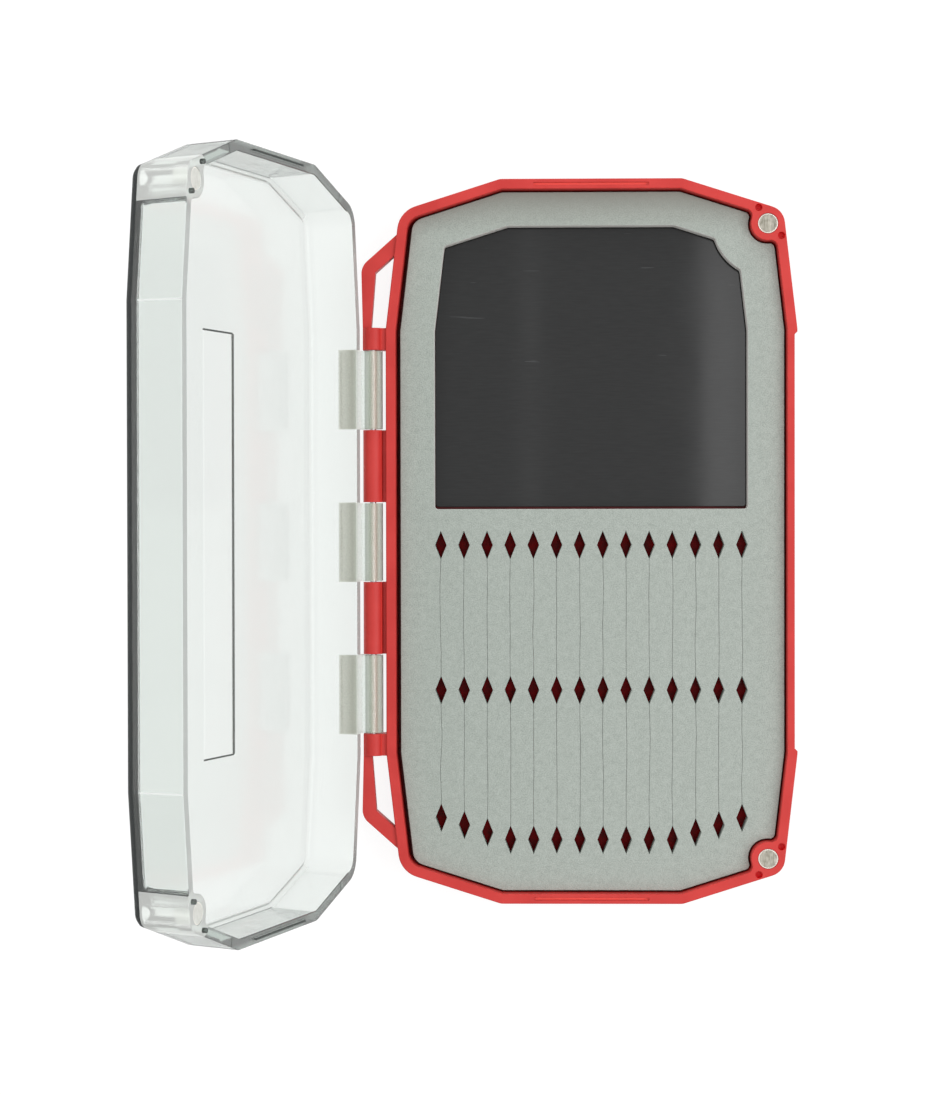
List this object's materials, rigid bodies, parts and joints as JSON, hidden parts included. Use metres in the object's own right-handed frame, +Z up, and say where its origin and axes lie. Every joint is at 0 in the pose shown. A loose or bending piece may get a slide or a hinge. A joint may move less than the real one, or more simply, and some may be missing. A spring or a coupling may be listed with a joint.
{
  "type": "fly box",
  "caption": "Slim fishing fly box with a coloured base tray, slotted foam, a magnetic sheet, and a clear deep lid that turns on a pin and is held shut by disc magnets.",
  "frame": {"origin": "middle of the base tray's flat underside", "axes": "+Z up, +X from the hinge to the opening side, +Y along the hinge towards the end with the magnetic sheet"},
  "size_m": [0.1533, 0.181, 0.1085],
  "materials": {
    "base_plastic": "satin",
    "clear_plastic": "gloss",
    "pin_steel": "satin",
    "foam": "matte",
    "adhesive_film": "satin",
    "magnetic_rubber": "satin",
    "nickel_plate": "satin"
  },
  "bodies": {
    "base": {"base_shell": "base_plastic", "hinge_pin": "pin_steel", "foam_pad": "foam", "foam_film": "adhesive_film", "magnetic_sheet": "magnetic_rubber", "sheet_film": "adhesive_film", "upper_base_magnet": "nickel_plate", "lower_base_magnet": "nickel_plate"},
    "lid": {"lid_shell": "clear_plastic", "upper_lid_magnet": "nickel_plate", "lower_lid_magnet": "nickel_plate"}
  },
  "joints": [
    {"name": "lid_hinge", "type": "hinge", "parent": "base", "child": "lid", "pos_m": [-0.0546, 0, 0.00845], "axis": [0, -1, 0], "range_deg": [-108, 27]}
  ]
}
